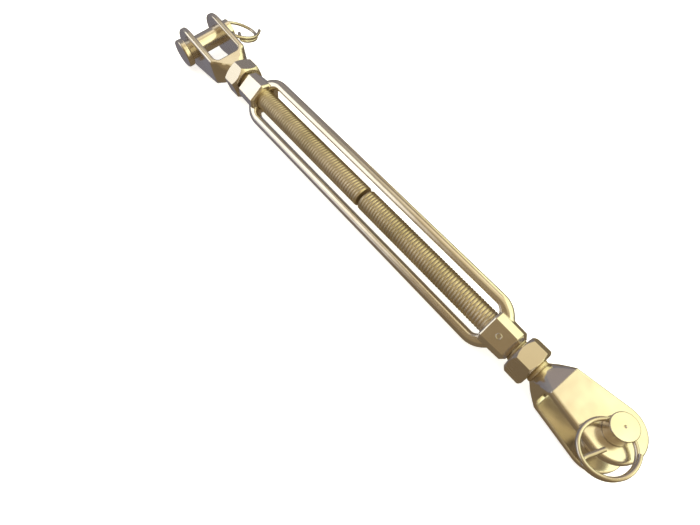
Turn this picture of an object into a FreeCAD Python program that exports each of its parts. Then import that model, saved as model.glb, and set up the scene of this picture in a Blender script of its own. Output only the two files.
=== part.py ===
import FreeCAD, Part
import math
import os

from FreeCAD import Vector

# Open-body rigging screw with a fork, a clevis pin and a split ring at each end.
# Millimetres. The screw axis lies along X through the origin, which is the middle of the
# body frame, and +Z is up. Every end piece is built for the +X end with its clevis pin
# upright, and is then turned into place.

# Screw thread: the studs are plain cylinders of the thread's outer diameter.
thread_diameter = 12.0
thread_clearance = 0.06
stud_end_gap = 1.5
stud_end_chamfer = 0.8

# Body frame, forged in one piece: two bars joined by a boss at each end.
body_length = 214.0
boss_length = 16.0
body_width = 29.0
bar_width = 5.3
bar_thickness = 6.8
bar_outer_rounding = 3.3
bar_inner_rounding = 1.3
shoulder_turn_radius = 14.0
shoulder_foot_radius = 7.0
shoulder_foot_inset = 3.0
window_corner_radius = 4.5
boss_height = 17.6
boss_side_width = 17.0
boss_flat_width = 10.6
boss_side_height = 9.6
boss_taper = 0.93
boss_end_chamfer = 2.0
boss_root_rounding = 1.5
bore_mouth_chamfer = 0.7
body_roll = 36.0

# Lock nuts.
nut_across_flats = 19.0
nut_thickness = 10.4
nut_gap = 1.4
nut_face_diameter = 18.0
nut_bore_chamfer = 0.7
nut_inner_chamfer_angle = 45.0
nut_outer_chamfer_angle = 30.0
left_nut_roll = 12.0
right_nut_roll = 38.0

# Forks, each forged in one piece with its stud.
nut_to_flare = 1.9
neck_to_pin = 35.8
cheek_start_to_pin = 26.7
slot_depth = 28.0
fork_gap = 16.6
cheek_thickness = 3.7
eye_radius = 12.9
fork_base_width = 17.6
fork_rounding = 1.6
slot_rounding = 0.9
slot_corner_radius = 3.0
flare_start = 6.5
flare_corner_cut = 0.9
left_fork_roll = 4.0

# Clevis pins.
pin_diameter = 12.0
pin_hole_clearance = 0.08
pin_head_diameter = 17.0
pin_head_thickness = 4.0
pin_head_rounding = 1.0
pin_end_play = 0.15
pin_projection = 7.4
pin_end_chamfer = 0.3
pin_centre_mark = 1.3
cross_hole_diameter = 4.2
cross_hole_height = 4.4
left_pin_slide = 1.8
left_pin_turn_angle = -2.0
right_pin_turn_angle = 7.0

# Split rings, each coiled from one length of wire with one end bent inwards.
wire_diameter = 2.0
ring_mean_radius = 11.2
right_coil_angle = 509.0
left_coil_angle = 467.0
wire_gap = 0.1
right_end_spring = 0.35
left_end_spring = 3.0
end_spring_angle = 45.0
tail_angle = -117.0
left_tail_shift_angle = -88.0
tail_end_radius = 0.3
tail_bend_radius = 2.2
right_ring_swing_angle = -5.0
left_ring_swing_angle = 61.0

# Sizes that follow from the ones above.
stud_radius = thread_diameter / 2.0
bore_radius = stud_radius + thread_clearance
body_half = body_length / 2.0
window_half = body_half - boss_length
body_half_width = body_width / 2.0
window_half_width = body_half_width - bar_width
fork_half = fork_gap / 2.0 + cheek_thickness
pin_radius = pin_diameter / 2.0
nut_start = body_half + nut_gap
neck_start = nut_start + nut_thickness + nut_to_flare
pin_distance = neck_start + neck_to_pin
cheek_start = pin_distance - cheek_start_to_pin
slot_bottom = pin_distance - slot_depth
cross_hole_z = fork_half + cross_hole_height

X_AXIS = Vector(1, 0, 0)
Y_AXIS = Vector(0, 1, 0)
Z_AXIS = Vector(0, 0, 1)
ORIGIN = Vector(0, 0, 0)


def polar(radius, degrees):
    """A point of the XY plane at a radius and an angle."""
    angle = math.radians(degrees)
    return Vector(radius * math.cos(angle), radius * math.sin(angle), 0)


def line(start, end):
    return Part.LineSegment(start, end).toShape()


def arc(start, middle, end):
    return Part.Arc(start, middle, end).toShape()


def closed_polygon(points):
    return Part.makePolygon(points + [points[0]])


def disc_prism(radius, start, length, axis):
    return Part.makeCylinder(radius, length, start, axis)


def rounded_rectangle(half_a, half_b, radius, place):
    """A closed wire with round corners; place turns two plane coordinates into a point."""
    corner = radius * (1.0 - math.sqrt(0.5))
    edges = []
    for a, b in ((1, 1), (-1, 1), (-1, -1), (1, -1)):
        along = place(a * (half_a - radius), b * half_b)
        middle = place(a * (half_a - corner), b * (half_b - corner))
        down = place(a * half_a, b * (half_b - radius))
        if a * b > 0:
            edges.append((down, middle, along))
        else:
            edges.append((along, middle, down))
    parts = []
    for number, (start, middle, end) in enumerate(edges):
        parts.append(arc(start, middle, end))
        parts.append(line(end, edges[(number + 1) % 4][0]))
    return Part.Wire(parts)


def edges_where(shape, test):
    return [edge for edge in shape.Edges if test(edge.BoundBox)]


def place_end(shape, side):
    """Turn a piece of the +X end to its place; the left fork lies on its side."""
    if side == "left":
        shape = shape.copy()
        shape.rotate(ORIGIN, Z_AXIS, 180.0)
        shape.rotate(ORIGIN, X_AXIS, left_fork_roll - 90.0)
    return shape


# Body frame

def shoulder_angle():
    """The angle through which the bar's outer edge turns in towards the boss."""
    drop = body_half_width - plate_end_half_width()
    return math.acos(1.0 - drop / (shoulder_turn_radius + shoulder_foot_radius))


def plate_end_half_width():
    return boss_side_width / 2.0 * boss_taper - 0.2 * boss_end_chamfer


def shoulder_edges():
    """The outer edge of a bar's +X half: straight, turned in, and turned back to the boss."""
    turn = shoulder_angle()
    foot_x = body_half - boss_end_chamfer - shoulder_foot_inset
    start_x = foot_x - (shoulder_turn_radius + shoulder_foot_radius) * math.sin(turn)
    turn_centre = Vector(start_x, body_half_width - shoulder_turn_radius, 0)
    foot_centre = Vector(foot_x, plate_end_half_width() + shoulder_foot_radius, 0)
    upright = 90.0
    half_turn = math.degrees(turn) / 2.0
    start = turn_centre + polar(shoulder_turn_radius, upright)
    turn_middle = turn_centre + polar(shoulder_turn_radius, upright - half_turn)
    joint = turn_centre + polar(shoulder_turn_radius, upright - 2.0 * half_turn)
    foot_middle = foot_centre + polar(shoulder_foot_radius, -upright - half_turn)
    foot = foot_centre + polar(shoulder_foot_radius, -upright)
    middle = Vector(0, body_half_width, 0)
    return [line(middle, start), arc(start, turn_middle, joint), arc(joint, foot_middle, foot)]


def bar_plate():
    """Both bars and the webs that join them to the bosses, as one rounded plate."""
    quarter = shoulder_edges()
    foot = quarter[-1].Vertexes[-1].Point
    quarter.append(line(foot, Vector(foot.x, 0, 0)))
    half = quarter + [edge.mirror(ORIGIN, Y_AXIS) for edge in quarter]
    whole = half + [edge.mirror(ORIGIN, X_AXIS) for edge in half]
    outline = Part.Wire(Part.__sortEdges__(whole))
    plate = Part.Face(outline).extrude(Vector(0, 0, bar_thickness))
    plate.translate(Vector(0, 0, -bar_thickness / 2.0))
    plate = plate.removeSplitter()
    inside = plate_end_half_width() - 0.01
    outer = edges_where(plate, lambda box: box.ZLength < 0.001 and (box.YMin > inside or box.YMax < -inside))
    return plate.makeFillet(bar_outer_rounding, outer)


def boss_section(x, scale):
    """The boss outline at x: a square with wide bevels between its flats."""
    flat = boss_flat_width / 2.0 * scale
    height = boss_height / 2.0 * scale
    side = boss_side_width / 2.0 * scale
    side_height = boss_side_height / 2.0 * scale
    quarter = [(flat, height), (side, side_height)]
    points = []
    for y_sign, z_sign, order in ((1, 1, 1), (1, -1, -1), (-1, -1, 1), (-1, 1, -1)):
        for y, z in quarter[::order]:
            points.append(Vector(x, y_sign * y, z_sign * z))
    return closed_polygon(points)


def boss():
    """The +X boss, tapered outwards, with its outer end chamfered and its root rounded."""
    solid = Part.makeLoft([boss_section(window_half, 1.0), boss_section(body_half, boss_taper)], True, True)
    at_end = edges_where(solid, lambda box: box.XMin > body_half - 0.001)
    solid = solid.makeChamfer(boss_end_chamfer, at_end)
    at_root = edges_where(solid, lambda box: box.XMax < window_half + 0.001)
    return solid.makeFillet(boss_root_rounding, at_root)


def window():
    """The cutter for the long opening between the bars."""
    wire = rounded_rectangle(
        window_half, window_half_width, window_corner_radius, lambda a, b: Vector(a, b, -boss_height))
    return Part.Face(wire).extrude(Vector(0, 0, 2.0 * boss_height))


def bore():
    """The threaded way through both bosses, with chamfered outer mouths."""
    through = disc_prism(bore_radius, Vector(-body_length, 0, 0), 2.0 * body_length, X_AXIS)
    mouth = Part.makeCone(
        bore_radius, bore_radius + bore_mouth_chamfer, bore_mouth_chamfer,
        Vector(body_half - bore_mouth_chamfer, 0, 0), X_AXIS)
    return through.fuse([mouth, mouth.mirror(ORIGIN, X_AXIS)])


def body_frame():
    right = boss()
    left = right.mirror(ORIGIN, X_AXIS)
    solid = bar_plate().cut(window())
    is_inner = lambda box: box.ZLength < 0.001 and max(-box.YMin, box.YMax) < window_half_width + 0.001
    solid = solid.makeFillet(bar_inner_rounding, edges_where(solid, is_inner))
    solid = solid.fuse([left, right]).removeSplitter()
    solid = solid.cut(bore())
    solid.rotate(ORIGIN, X_AXIS, body_roll)
    return solid


# Lock nuts

def lock_nut(side):
    """A hexagon nut, its corners cut back by a cone at each face, more steeply at the boss."""
    corner = nut_across_flats / math.sqrt(3.0)
    hexagon = closed_polygon([Vector(nut_start, *polar(corner, 90.0 + 60.0 * k)[:2]) for k in range(6)])
    solid = Part.Face(hexagon).extrude(Vector(nut_thickness, 0, 0))
    end = nut_start + nut_thickness
    face = nut_face_diameter / 2.0
    inner_depth = (corner - face) * math.tan(math.radians(nut_inner_chamfer_angle))
    outer_depth = (corner - face) * math.tan(math.radians(nut_outer_chamfer_angle))
    profile = closed_polygon([
        Vector(nut_start, 0, 0), Vector(nut_start, face, 0), Vector(nut_start + inner_depth, corner, 0),
        Vector(end - outer_depth, corner, 0), Vector(end, face, 0), Vector(end, 0, 0)])
    solid = solid.common(Part.Face(profile).revolve(ORIGIN, X_AXIS, 360.0))
    solid = solid.cut(disc_prism(bore_radius, Vector(nut_start, 0, 0), nut_thickness, X_AXIS))
    for x, direction in ((nut_start, X_AXIS), (end, -X_AXIS)):
        mouth = Part.makeCone(
            bore_radius + nut_bore_chamfer, bore_radius, nut_bore_chamfer, Vector(x, 0, 0), direction)
        solid = solid.cut(mouth)
    if side == "left":
        solid.rotate(ORIGIN, Z_AXIS, 180.0)
        solid.rotate(ORIGIN, X_AXIS, left_nut_roll)
    else:
        solid.rotate(ORIGIN, X_AXIS, right_nut_roll)
    return solid


# Forks with their studs

def fork_outline():
    """The cheeks' outline: straight sides, run on back to the neck, that meet the eye tangent."""
    base = fork_base_width / 2.0
    reach = math.hypot(cheek_start_to_pin, base)
    base_angle = math.degrees(math.atan2(base, -cheek_start_to_pin))
    touch_angle = base_angle - math.degrees(math.acos(eye_radius / reach))
    eye = Vector(pin_distance, 0, 0)
    upper = eye + polar(eye_radius, touch_angle)
    lower = eye + polar(eye_radius, -touch_angle)
    slope = (upper.y - base) / (upper.x - cheek_start)
    back = base - slope * (cheek_start - neck_start)
    corners = [lower, Vector(neck_start, -back, 0), Vector(neck_start, back, 0), upper]
    sides = [line(first, second) for first, second in zip(corners, corners[1:])]
    return Part.Wire([arc(upper, eye + polar(eye_radius, 0.0), lower)] + sides)


def flare_length():
    return pin_distance + 2.0 * eye_radius - neck_start


def flare_wedge(half_base, place, depth):
    """A prism between two planes that open out from the neck and are half_base off at the cheeks."""
    slope = (half_base - flare_start) / (cheek_start - neck_start)
    wide = flare_start + slope * flare_length()
    far = neck_start + flare_length()
    corners = [(neck_start, flare_start), (far, wide), (far, -wide), (neck_start, -flare_start)]
    return Part.Face(closed_polygon([place(x, off) for x, off in corners])).extrude(depth)


def flare_cone():
    """The cone that rounds the corners of the flare down to the round neck."""
    base = math.hypot(fork_base_width / 2.0, fork_half) - flare_corner_cut
    slope = (base - stud_radius) / (cheek_start - neck_start)
    wide = stud_radius + slope * flare_length()
    return Part.makeCone(stud_radius, wide, flare_length(), Vector(neck_start, 0, 0), X_AXIS)


def fork_block():
    """The forging's outside before the slot is cut, with rounded cheek rims."""
    wide = 2.0 * eye_radius
    block = Part.Face(fork_outline()).extrude(Vector(0, 0, 2.0 * fork_half))
    block.translate(Vector(0, 0, -fork_half))
    rim = edges_where(block, lambda box: box.ZLength < 0.001 and box.XLength > 0.001)
    block = block.makeFillet(fork_rounding, rim)
    above = flare_wedge(fork_half, lambda x, off: Vector(x, -wide, off), Vector(0, 2.0 * wide, 0))
    beside = flare_wedge(fork_base_width / 2.0, lambda x, off: Vector(x, off, -wide), Vector(0, 0, 2.0 * wide))
    return block.common(above).common(beside).common(flare_cone())


def fork_slot():
    """The cutter between the cheeks, with rounded inner corners."""
    end = pin_distance + 2.0 * eye_radius
    middle = (slot_bottom + end) / 2.0
    half_length = (end - slot_bottom) / 2.0
    wire = rounded_rectangle(
        half_length, fork_gap / 2.0, slot_corner_radius,
        lambda a, b: Vector(middle + a, -2.0 * eye_radius, b))
    return Part.Face(wire).extrude(Vector(0, 4.0 * eye_radius, 0))


def slot_rim(solid):
    """The edges where the cheeks' inner faces meet the outline."""
    def on_rim(box):
        level = abs(abs(box.ZMin) - fork_gap / 2.0) < 0.001
        return level and box.ZLength < 0.001 and max(-box.YMin, box.YMax) > stud_radius
    return edges_where(solid, on_rim)


def jaw_stud(side):
    stud_start = stud_end_gap / 2.0
    stud = disc_prism(stud_radius, Vector(stud_start, 0, 0), cheek_start - stud_start, X_AXIS)
    tip = edges_where(stud, lambda box: box.XMax < stud_start + 0.001)
    stud = stud.makeChamfer(stud_end_chamfer, tip)
    solid = fork_block().cut(fork_slot())
    solid = solid.makeFillet(slot_rounding, slot_rim(solid))
    solid = solid.fuse(stud).removeSplitter()
    hole = disc_prism(
        pin_radius + pin_hole_clearance, Vector(pin_distance, 0, -2.0 * fork_half), 4.0 * fork_half, Z_AXIS)
    return place_end(solid.cut(hole), side)


# Clevis pins

def pin_profile():
    """Half section of the pin: flat head below, shank, and chamfered end above."""
    seat = -fork_half - pin_end_play
    bottom = seat - pin_head_thickness
    top = fork_half + pin_projection
    head = pin_head_diameter / 2.0
    corner = pin_head_rounding * (1.0 - math.sqrt(0.5))

    def at(radius, z):
        return Vector(radius, 0, z)

    lower = arc(at(head - pin_head_rounding, bottom), at(head - corner, bottom + corner),
                at(head, bottom + pin_head_rounding))
    upper = arc(at(head, seat - pin_head_rounding), at(head - corner, seat - corner),
                at(head - pin_head_rounding, seat))
    dimple = pin_centre_mark / 2.0
    return Part.Wire([
        line(at(0, bottom), at(head - pin_head_rounding, bottom)),
        lower,
        line(at(head, bottom + pin_head_rounding), at(head, seat - pin_head_rounding)),
        upper,
        line(at(head - pin_head_rounding, seat), at(pin_radius, seat)),
        line(at(pin_radius, seat), at(pin_radius, top - pin_end_chamfer)),
        line(at(pin_radius, top - pin_end_chamfer), at(pin_radius - pin_end_chamfer, top)),
        line(at(pin_radius - pin_end_chamfer, top), at(dimple, top)),
        line(at(dimple, top), at(0, top - dimple)),
        line(at(0, top - dimple), at(0, bottom))])


def pin_slide(side):
    """How far the pin has slid from its head's seat; only the left one has."""
    return left_pin_slide if side == "left" else 0.0


def clevis_pin(side):
    solid = Part.Face(pin_profile()).revolve(ORIGIN, Z_AXIS, 360.0)
    hole = disc_prism(
        cross_hole_diameter / 2.0, Vector(-pin_diameter, 0, cross_hole_z), 2.0 * pin_diameter, X_AXIS)
    solid = solid.cut(hole)
    solid.rotate(ORIGIN, Z_AXIS, left_pin_turn_angle if side == "left" else right_pin_turn_angle)
    solid.translate(Vector(pin_distance, 0, -pin_slide(side)))
    return place_end(solid, side)


# Split rings

def wire_path(tail_start, coil_angle, end_spring):
    """Centre line of the wire in the ring's plane: inward tail, bend, and the coil.

    The cross hole is at 90 degrees. The coil climbs by one wire in each full turn and is
    level with the hole there, and its last stretch springs outwards a little.
    """
    pitch = wire_diameter + wire_gap
    bend_distance = ring_mean_radius - tail_bend_radius
    bend_along = math.sqrt(bend_distance ** 2 - tail_bend_radius ** 2)
    bend_angle = math.degrees(math.asin(tail_bend_radius / bend_distance))

    def climb(angle):
        return Vector(0, 0, pitch * (angle - 90.0) / 360.0)

    points = []
    for share in (0.0, 0.34, 0.67, 1.0):
        radius = tail_end_radius + (bend_along - tail_end_radius) * share
        points.append(polar(radius, tail_start) + climb(tail_start))
    bend_centre = polar(bend_along, tail_start) + polar(tail_bend_radius, tail_start + 90.0)
    sweep = 90.0 - bend_angle
    for share in (0.35, 0.7):
        on_bend = polar(tail_bend_radius, tail_start - 90.0 + sweep * share)
        points.append(bend_centre + on_bend + climb(tail_start))
    coil_start = tail_start + bend_angle
    coil_end = tail_start + coil_angle
    steps = 36
    for step in range(steps + 1):
        angle = coil_start + (coil_end - coil_start) * step / steps
        last = max(0.0, 1.0 - (coil_end - angle) / end_spring_angle)
        radius = ring_mean_radius + end_spring * last ** 2
        points.append(polar(radius, angle) + climb(angle))
    curve = Part.BSplineCurve()
    curve.interpolate(points)
    return Part.Wire(curve.toShape())


def split_ring(side):
    """The coil swept along its path, hung in the pin's cross hole and swung into place."""
    shift, swing, turn = (left_tail_shift_angle, left_ring_swing_angle, left_pin_turn_angle)
    coil_angle, end_spring = (left_coil_angle, left_end_spring)
    if side == "right":
        shift, swing, turn = (0.0, right_ring_swing_angle, right_pin_turn_angle)
        coil_angle, end_spring = (right_coil_angle, right_end_spring)
    path = wire_path(tail_angle + shift, coil_angle, end_spring)
    start = path.Edges[0]
    tangent = start.tangentAt(start.FirstParameter)
    section = Part.Circle(start.valueAt(start.FirstParameter), tangent, wire_diameter / 2.0)
    solid = path.makePipeShell([Part.Wire(section.toShape())], True, False)
    sag = ring_mean_radius - math.sqrt(ring_mean_radius ** 2 - pin_radius ** 2)
    solid.translate(Vector(0, -ring_mean_radius + sag / 2.0, 0))
    solid.rotate(ORIGIN, X_AXIS, -swing)
    solid.rotate(ORIGIN, Z_AXIS, turn)
    solid.translate(Vector(pin_distance, 0, cross_hole_z - pin_slide(side)))
    return place_end(solid, side)


def main():
    nodes = {"body_frame": body_frame()}
    for side in ("left", "right"):
        nodes[side + "_jaw_stud"] = jaw_stud(side)
        nodes[side + "_lock_nut"] = lock_nut(side)
        nodes[side + "_clevis_pin"] = clevis_pin(side)
        nodes[side + "_split_ring"] = split_ring(side)
    os.makedirs("parts", exist_ok=True)
    for name, shape in nodes.items():
        shape.exportStep("parts/" + name + ".step")
        box = shape.BoundBox
        print(name, "valid", shape.isValid(), "solids", len(shape.Solids), "volume", round(shape.Volume, 1),
              "x", round(box.XMin, 2), round(box.XMax, 2), "y", round(box.YMin, 2), round(box.YMax, 2),
              "z", round(box.ZMin, 2), round(box.ZMax, 2))


main()
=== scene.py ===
import math

import bmesh
import bpy
import numpy as np
from mathutils import Matrix, Vector


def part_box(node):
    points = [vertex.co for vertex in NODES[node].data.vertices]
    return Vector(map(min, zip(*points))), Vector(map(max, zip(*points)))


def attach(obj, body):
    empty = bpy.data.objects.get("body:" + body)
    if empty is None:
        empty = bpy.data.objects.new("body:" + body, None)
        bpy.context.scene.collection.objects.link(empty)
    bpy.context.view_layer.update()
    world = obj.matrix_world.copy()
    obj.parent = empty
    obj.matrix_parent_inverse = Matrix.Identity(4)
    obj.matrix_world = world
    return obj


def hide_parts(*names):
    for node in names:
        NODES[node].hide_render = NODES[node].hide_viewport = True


# Looks of an open-body rigging screw: threaded studs, polished forgings, soft studio light.
# Metres. The screw axis is X, +Z is up, and the middle of the body frame is the origin.

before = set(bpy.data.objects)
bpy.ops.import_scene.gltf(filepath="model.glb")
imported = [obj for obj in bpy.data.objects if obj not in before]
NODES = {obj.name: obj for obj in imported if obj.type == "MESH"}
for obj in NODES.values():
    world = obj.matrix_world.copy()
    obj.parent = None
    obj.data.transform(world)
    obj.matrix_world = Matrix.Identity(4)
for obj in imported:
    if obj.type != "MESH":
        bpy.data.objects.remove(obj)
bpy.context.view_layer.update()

MM = 0.001

# Screw thread, shallower than a cut one and with rounded crests
PITCH = 1.75 * MM
MAJOR_RADIUS = 6.0 * MM
THREAD_DEPTH = 0.27 * MM
STUD_TIP = 0.75 * MM
TIP_CHAMFER = 0.8 * MM
NECK_START = 120.7 * MM
RUN_OUT = 1.2 * MM
STUD_MARGIN = 2.0 * MM
POINTS_ROUND = 48

# One pitch of the rolled profile: station along the pitch and share of the full depth there.
PROFILE_STATION = np.array([0.0, 0.10, 0.20, 0.28, 0.36, 0.44, 0.50, 0.56, 0.64, 0.72, 0.80, 0.90])
PROFILE_DEPTH = np.array([0.0, 0.02, 0.10, 0.28, 0.62, 0.92, 1.0, 0.92, 0.62, 0.28, 0.10, 0.02])

# Plain raised mark on the flat of the right boss
MARK_DISTANCE = 98.6 * MM
MARK_RADIUS = 1.3 * MM
MARK_WIDTH = 0.30 * MM
MARK_HEIGHT = 0.12 * MM
MARK_POINTS_ROUND = 40
MARK_POINTS_ACROSS = 10
BOSS_FLAT_HEIGHT = 8.49 * MM
BOSS_FLAT_SLOPE = 0.0385
BODY_ROLL = math.radians(36.0)

# Camera of the photograph, and the size of its picture
CAMERA_PLACE = (126.1 * MM, -116.1 * MM, 232.2 * MM)
CAMERA_LOOK = (-0.377, 0.321, -0.869)
CAMERA_UP = (-0.681, 0.540, 0.495)
PICTURE_WIDTH = 700
FOCAL_PIXELS = 546.3
SENSOR_WIDTH = 36.0

# Faces that turn by less than this are joined into one flat face before smoothing
FLAT_DEGREES = 0.2

# Edges sharper than this stay sharp
FORGED_SHARP = 28.0
WIRE_SHARP = 50.0
ROUND_SHARP = 70.0

# Surfaces

def closed_piece(name, mesh, dropped):
    """Merge doubles, drop the faces that a test names, close what is open, and link the piece."""
    build = bmesh.new()
    build.from_mesh(mesh)
    bmesh.ops.remove_doubles(build, verts=build.verts, dist=1e-7)
    for test in dropped:
        bmesh.ops.delete(build, geom=[face for face in build.faces if test(face)], context="FACES")
        rim = [edge for edge in build.edges if edge.is_boundary]
        bmesh.ops.holes_fill(build, edges=rim, sides=0)
    bmesh.ops.dissolve_degenerate(build, edges=build.edges, dist=1e-8)
    bmesh.ops.dissolve_limit(
        build, angle_limit=math.radians(FLAT_DEGREES), verts=build.verts, edges=build.edges)
    bmesh.ops.recalc_face_normals(build, faces=build.faces)
    clean = bpy.data.meshes.new(name)
    build.to_mesh(clean)
    build.free()
    piece = bpy.data.objects.new(name, clean)
    bpy.context.scene.collection.objects.link(piece)
    return piece


def smooth(piece, degrees):
    """Shade smooth, with edges sharper than the angle kept sharp."""
    piece.data.shade_smooth()
    piece.data.set_sharp_from_angle(angle=math.radians(degrees))
    weights = piece.modifiers.new("weights", "WEIGHTED_NORMAL")
    weights.keep_sharp = True
    return piece


def thread_radius(x, angle):
    """Major radius less the rolled profile's depth, at a phase that advances one pitch a turn.

    The depth fades out at the neck, and a cone cuts the radius back at the stud's tip.
    """
    phase = np.mod(x / PITCH - angle / (2.0 * math.pi), 1.0)
    depth = np.interp(phase, PROFILE_STATION, PROFILE_DEPTH, period=1.0)
    fade = np.clip((NECK_START - x) / RUN_OUT, 0.0, 1.0)
    radius = MAJOR_RADIUS - THREAD_DEPTH * depth * fade
    return np.minimum(radius, MAJOR_RADIUS - TIP_CHAMFER + (x - STUD_TIP))


def thread(name, mirrored):
    """A right-hand screw thread along +X, or its mirror image along -X.

    Grid of profile stations by angle: a station's x is its turn plus its share of the pitch
    plus the angle's share, held between the stud's tip and the neck.
    """
    turns = np.arange(-1, int((NECK_START - STUD_TIP) / PITCH) + 3)
    first = math.floor(STUD_TIP / PITCH) * PITCH
    stations = first + PITCH * (turns[:, None] + PROFILE_STATION[None, :]).ravel()
    angle = np.linspace(0.0, 2.0 * math.pi, POINTS_ROUND + 1)
    x = stations[:, None] + PITCH * angle[None, :] / (2.0 * math.pi)
    x = np.clip(x, STUD_TIP, NECK_START)
    radius = thread_radius(x, angle[None, :])
    side = -1.0 if mirrored else 1.0
    grid = np.stack([side * x, radius * np.cos(angle), radius * np.sin(angle)], axis=-1)
    rows, columns = grid.shape[:2]
    index = np.arange(rows * columns).reshape(rows, columns)
    sides = np.stack([index[:-1, :-1], index[:-1, 1:], index[1:, 1:], index[1:, :-1]], axis=-1)
    sides = sides.reshape(-1, 4)
    centres = np.array([[side * STUD_TIP, 0.0, 0.0], [side * NECK_START, 0.0, 0.0]])
    points = np.vstack([grid.reshape(-1, 3), centres])
    tip = np.full(columns - 1, rows * columns)
    caps = [
        np.stack([tip, index[0, 1:], index[0, :-1], tip], axis=-1),
        np.stack([tip + 1, index[-1, :-1], index[-1, 1:], tip + 1], axis=-1)]
    triangles = np.vstack([cap[:, :3] for cap in caps])
    mesh = bpy.data.meshes.new(name)
    mesh.from_pydata(points.tolist(), [], sides.tolist() + triangles.tolist())
    return closed_piece(name, mesh, [])


def raised_mark(name):
    """A low ring half sunk in the right boss's flat: a circle carries an ellipse round itself.

    Point = centre + (R + w cos v)(cos u, sin u) in the flat + h sin v along the flat's normal,
    then rolled about X with the body frame.
    """
    around, section = np.meshgrid(
        np.linspace(0.0, 2.0 * math.pi, MARK_POINTS_ROUND, endpoint=False),
        np.linspace(0.0, 2.0 * math.pi, MARK_POINTS_ACROSS, endpoint=False), indexing="ij")
    reach = MARK_RADIUS + MARK_WIDTH * np.cos(section)
    x = MARK_DISTANCE + reach * np.cos(around)
    y = reach * np.sin(around)
    flat = BOSS_FLAT_HEIGHT - BOSS_FLAT_SLOPE * (x - MARK_DISTANCE)
    z = flat + MARK_HEIGHT * np.sin(section)
    cos_roll, sin_roll = math.cos(BODY_ROLL), math.sin(BODY_ROLL)
    grid = np.stack([x, y * cos_roll - z * sin_roll, y * sin_roll + z * cos_roll], axis=-1)
    index = np.arange(x.size).reshape(x.shape)
    ahead = np.roll(index, -1, axis=0)
    faces = np.stack([index, ahead, np.roll(ahead, -1, axis=1), np.roll(index, -1, axis=1)], axis=-1)
    mesh = bpy.data.meshes.new(name)
    mesh.from_pydata(grid.reshape(-1, 3).tolist(), [], faces.reshape(-1, 4).tolist())
    return closed_piece(name, mesh, [])


# Materials

class Socket:
    """A shader value that takes part in Python expressions."""

    def __init__(self, tree, link):
        self.tree = tree
        self.link = link

    def math(self, operation, first, second):
        node = self.tree.nodes.new("ShaderNodeMath")
        node.operation = operation
        for place, value in enumerate((first, second)):
            put(self.tree, node.inputs[place], value)
        return Socket(self.tree, node.outputs[0])

    def __add__(self, other):
        return self.math("ADD", self, other)

    def __radd__(self, other):
        return self.math("ADD", other, self)

    def __mul__(self, other):
        return self.math("MULTIPLY", self, other)

    def __rmul__(self, other):
        return self.math("MULTIPLY", other, self)


def put(tree, target, value):
    """Link a socket or set a plain value."""
    if isinstance(value, Socket):
        tree.links.new(value.link, target)
    else:
        target.default_value = value


class Nodes:
    """A node tree under construction, with one way to add any node."""

    def __init__(self, tree):
        self.tree = tree

    def node(self, kind, settings, values, output=0):
        """Add a node: its settings first, then the values or links of its sockets."""
        node = self.tree.nodes.new(kind)
        for key, setting in settings.items():
            setattr(node, key, setting)
        for key, value in values.items():
            put(self.tree, node.inputs[key], value)
        return Socket(self.tree, node.outputs[output])

    def noise(self, size, stretch=(1.0, 1.0, 1.0), detail=2.0):
        """Noise from 0 to 1 whose features are about size metres, longer along a stretched axis."""
        place = self.node("ShaderNodeTexCoord", {}, {}, output="Object")
        scaled = self.node(
            "ShaderNodeMapping", {}, {"Vector": place, "Scale": [1.0 / stretch[k] for k in range(3)]})
        return self.node(
            "ShaderNodeTexNoise", {}, {"Vector": scaled, "Scale": 1.0 / size, "Detail": detail}, output="Fac")

    def mix(self, share, first, second, blend="MIX"):
        return self.node(
            "ShaderNodeMix", {"data_type": "RGBA", "blend_type": blend},
            {"Factor": share, "A": first, "B": second}, output=2)


class Finish(Nodes):
    """The nodes of one material."""

    def __init__(self, name):
        self.material = bpy.data.materials.new(name)
        self.material.use_nodes = True
        super().__init__(self.material.node_tree)
        self.shader = self.tree.nodes["Principled BSDF"]

    def set(self, **values):
        for key, value in values.items():
            put(self.tree, self.shader.inputs[key.replace("_", " ")], value)


# Sizes of the drift between two tones, of the waves of hand polishing and of the drawn lines
DRIFT_SIZE = 18.0 * MM
DRIFT_SPAN = (0.35, 0.7)
WAVE_SIZE = 9.0 * MM
DRAW_SIZE = 0.35 * MM
DRAW_STRETCH = (30.0, 1.0, 1.0)
DRAW_HEIGHT = 0.0005 * MM
DRIFT_ROUGHNESS = 0.08
DRAW_ROUGHNESS = 0.05
EDGE_SAMPLES = 4


def polished(name, light, deep, roughness, wave, edge=0.0):
    """Polished metal: slow drift between two tones, faint waves of hand polishing, drawn lines.

    Where an edge radius is given, light rounds the edges as if they had been buffed.
    """
    finish = Finish(name)
    drift = finish.noise(DRIFT_SIZE, detail=3.0)
    share = finish.node("ShaderNodeMapRange", {}, {
        "Value": drift, "From Min": DRIFT_SPAN[0], "From Max": DRIFT_SPAN[1]})
    colour = finish.mix(share, light, deep)
    draw = finish.noise(DRAW_SIZE, stretch=DRAW_STRETCH, detail=2.0)
    uneven = roughness + DRIFT_ROUGHNESS * drift + DRAW_ROUGHNESS * draw
    finish.set(Base_Color=colour, Metallic=1.0, Roughness=uneven)
    height = finish.noise(WAVE_SIZE, detail=1.0) * wave + draw * DRAW_HEIGHT
    bump = {"Height": height, "Distance": 1.0, "Strength": 1.0}
    if edge:
        bump["Normal"] = finish.node("ShaderNodeBevel", {"samples": EDGE_SAMPLES}, {"Radius": edge})
    finish.set(Normal=finish.node("ShaderNodeBump", {}, bump))
    return finish.material


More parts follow.
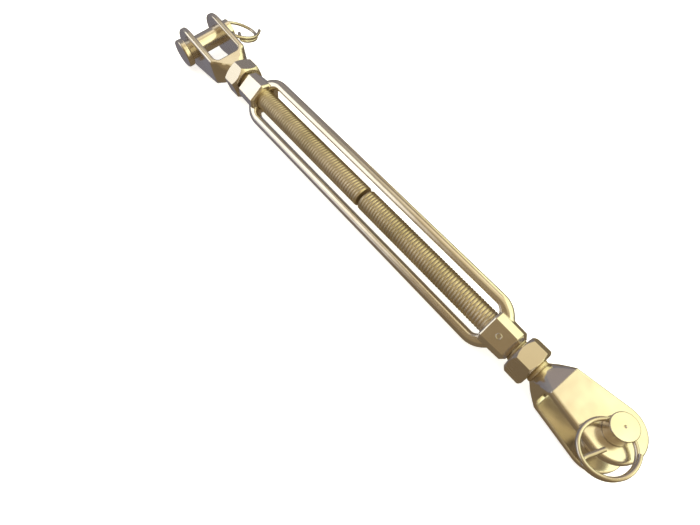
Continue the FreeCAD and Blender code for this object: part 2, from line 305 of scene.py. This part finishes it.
PALE_STEEL = (0.86, 0.82, 0.74, 1.0)
WARM_STEEL = (0.79, 0.72, 0.61, 1.0)
GREY_STEEL = (0.76, 0.70, 0.60, 1.0)
# Thread tones: a bronze tint of the studs' own, made darker than the forging's partly as painted shade
# standing in for the shade of the thread's flanks
BRONZE_AND_SHADE = (0.76, 0.66, 0.49, 1.0)
OLIVE_AND_SHADE = (0.60, 0.52, 0.35, 1.0)
DULL_WIRE = (0.62, 0.57, 0.51, 1.0)

# Two tones, roughness, height of the waves, and radius of the buffed edges
forged = polished("forged_polish", PALE_STEEL, WARM_STEEL, 0.13, 0.07 * MM, 0.5 * MM)
jaw_finish = polished("jaw_polish", PALE_STEEL, WARM_STEEL, 0.13, 0.12 * MM, 0.7 * MM)
# The rolled thread's darker tones are partly painted shade of its flanks, partly its own bronze tint
thread_finish = polished("rolled_thread", BRONZE_AND_SHADE, OLIVE_AND_SHADE, 0.36, 0.0)
nut_finish = polished("nut_faces", GREY_STEEL, WARM_STEEL, 0.20, 0.03 * MM, 0.3 * MM)
pin_finish = polished("pin_polish", PALE_STEEL, WARM_STEEL, 0.13, 0.03 * MM, 0.3 * MM)
ring_finish = polished("ring_wire", DULL_WIRE, GREY_STEEL, 0.18, 0.0)


def dress(piece, material, body):
    piece.data.materials.clear()
    piece.data.materials.append(material)
    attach(piece, body)


def stand_in(node, material, body, degrees=FORGED_SHARP, dropped=()):
    """A merged, smooth-shaded copy of a frame node that is shown in its place."""
    piece = closed_piece(node + "_surface", NODES[node].data, dropped)
    smooth(piece, degrees)
    dress(piece, material, body)
    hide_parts(node)
    return piece


def on_stud(face):
    """Whether a face of the forging belongs to the plain stud inside the neck."""
    return min(abs(vertex.co.x) for vertex in face.verts) < NECK_START - STUD_MARGIN


stand_in("body_frame", forged, "frame")
dress(smooth(raised_mark("boss_mark"), ROUND_SHARP), forged, "frame")
for side in ("left", "right"):
    stand_in(side + "_jaw_stud", jaw_finish, side + "_jaw", dropped=[on_stud])
    stud = smooth(thread(side + "_thread", side == "left"), ROUND_SHARP)
    dress(stud, thread_finish, side + "_jaw")
    stand_in(side + "_lock_nut", nut_finish, side + "_nut")
    stand_in(side + "_clevis_pin", pin_finish, side + "_pin")
    stand_in(side + "_split_ring", ring_finish, side + "_ring", degrees=WIRE_SHARP)

# Floor, light and camera

PIN_DISTANCE = 156.5 * MM
FLOOR_HALF = 4.0
FLOOR_GLOW = 0.7
SKY_DIRECTION = (0.0, 0.1, 1.0)
SKY_DISTANCE = 1.5
SKY_SIZE = 2.0
SKY_POWER = 20.0


def floor():
    """A pale plane tilted to touch both ends of the lying part."""
    left_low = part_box("left_jaw_stud")[0].z
    right_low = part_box("right_clevis_pin")[0].z
    slope = (right_low - left_low) / (2.0 * PIN_DISTANCE)
    mesh = bpy.data.meshes.new("floor")
    corners = [(-FLOOR_HALF, -FLOOR_HALF), (FLOOR_HALF, -FLOOR_HALF),
               (FLOOR_HALF, FLOOR_HALF), (-FLOOR_HALF, FLOOR_HALF)]
    points = [(x, y, right_low + slope * (x - PIN_DISTANCE)) for x, y in corners]
    mesh.from_pydata(points, [], [(0, 1, 2, 3)])
    plane = bpy.data.objects.new("floor", mesh)
    bpy.context.scene.collection.objects.link(plane)
    finish = Finish("pale_floor")
    finish.set(Base_Color=(0.9, 0.9, 0.9, 1.0), Roughness=0.9)
    finish.set(Emission_Color=(1.0, 1.0, 1.0, 1.0), Emission_Strength=FLOOR_GLOW)
    mesh.materials.append(finish.material)
    plane.visible_glossy = False


def sky_light():
    """A soft white light from above, which the metal doesn't mirror."""
    data = bpy.data.lights.new("sky", "AREA")
    data.shape = "SQUARE"
    data.size = SKY_SIZE
    data.energy = SKY_POWER
    lamp = bpy.data.objects.new("sky", data)
    bpy.context.scene.collection.objects.link(lamp)
    towards = Vector(SKY_DIRECTION).normalized()
    lamp.location = towards * SKY_DISTANCE
    lamp.rotation_euler = towards.to_track_quat("Z", "Y").to_euler()
    lamp.visible_glossy = False


# Soft glows of the room: direction, inner and outer half angle in degrees, and light
GLOWS = [
    ((-0.62, -0.57, 0.54), 10.0, 24.0, (1.26, 1.24, 1.10)),
    ((-0.50, -0.86, 0.10), 4.0, 16.0, (0.70, 0.70, 0.75)),
    ((-0.05, 0.10, 0.99), 8.0, 38.0, (0.46, 0.41, 0.26)),
    ((-0.27, 0.34, 0.90), 5.0, 17.0, (0.42, 0.40, 0.34)),
    ((-0.72, 0.45, 0.51), 4.0, 16.0, (0.10, 0.06, 0.03)),
    ((0.85, 0.10, 0.50), 10.0, 40.0, (0.55, 0.50, 0.28))]

# Broad key light: the plane of its edge, where it fades in across that plane, and two tones
KEY_EDGE = (0.85, 0.42, -0.25)
KEY_FADE = (-0.03, 0.075)
FRINGE_FADE = (-0.14, -0.03)
KEY = (1.36, 1.36, 0.84, 1.0)
FRINGE = (0.62, 0.47, 0.29, 1.0)

BELOW_LEFT = (0.21, 0.20, 0.23, 1.0)
BELOW_RIGHT = (0.20, 0.15, 0.09, 1.0)
ABOVE_LEFT = (0.26, 0.25, 0.27, 1.0)
ABOVE_RIGHT = (0.30, 0.22, 0.12, 1.0)
BACKDROP = (1.0, 1.0, 1.0, 1.0)

# Where the room passes from left to right and from below to above, and where the key light
# starts across the part and above the floor
LEFT_TO_RIGHT = (-0.75, -0.15)
BELOW_TO_ABOVE = (-0.1, 0.3)
KEY_SIDE_FADE = (0.0, 0.35)
KEY_FOOT_FADE = (-0.15, 0.05)
X_AXIS = (1.0, 0.0, 0.0)
Y_AXIS = (0.0, 1.0, 0.0)
Z_AXIS = (0.0, 0.0, 1.0)


def world_light():
    """A dim room with soft glows; the camera itself sees a pale backdrop."""
    world = bpy.data.worlds.new("room")
    world.use_nodes = True
    bpy.context.scene.world = world
    room = Nodes(world.node_tree)
    towards = room.node("ShaderNodeTexCoord", {}, {}, output="Generated")

    def reach(axis, start, end):
        """Share from 0 to 1 as the dot product with an axis goes from start to end."""
        product = room.node("ShaderNodeVectorMath", {"operation": "DOT_PRODUCT"}, {0: towards, 1: axis},
                            output="Value")
        return room.node("ShaderNodeMapRange", {"interpolation_type": "SMOOTHERSTEP"}, {
            "Value": product, "From Min": start, "From Max": end})

    rightwards = reach(X_AXIS, *LEFT_TO_RIGHT)
    below = room.mix(rightwards, BELOW_LEFT, BELOW_RIGHT)
    above = room.mix(rightwards, ABOVE_LEFT, ABOVE_RIGHT)
    light = room.mix(reach(Z_AXIS, *BELOW_TO_ABOVE), below, above)
    lit_side = reach(Y_AXIS, *KEY_SIDE_FADE) * reach(Z_AXIS, *KEY_FOOT_FADE)
    light = room.mix(lit_side * reach(KEY_EDGE, *FRINGE_FADE), light, FRINGE)
    light = room.mix(lit_side * reach(KEY_EDGE, *KEY_FADE), light, KEY)
    for direction, inner, outer, colour in GLOWS:
        centre = Vector(direction).normalized()
        share = reach(centre, math.cos(math.radians(outer)), math.cos(math.radians(inner)))
        light = room.mix(share, light, (*colour, 1.0), blend="ADD")
    seen = room.node("ShaderNodeLightPath", {}, {}, output="Is Camera Ray")
    background = world.node_tree.nodes["Background"]
    put(world.node_tree, background.inputs["Color"], room.mix(seen, light, BACKDROP))


def camera():
    data = bpy.data.cameras.new("camera")
    data.sensor_width = SENSOR_WIDTH
    data.lens = SENSOR_WIDTH * FOCAL_PIXELS / PICTURE_WIDTH
    data.clip_start = 0.01
    look = Vector(CAMERA_LOOK).normalized()
    right = look.cross(Vector(CAMERA_UP)).normalized()
    up = right.cross(look)
    turn = Matrix((right, up, -look)).transposed()
    view = bpy.data.objects.new("camera", data)
    view.matrix_world = Matrix.Translation(CAMERA_PLACE) @ turn.to_4x4()
    bpy.context.scene.collection.objects.link(view)
    bpy.context.scene.camera = view


floor()
sky_light()
world_light()
camera()

bpy.context.scene.view_settings.view_transform = "Standard"
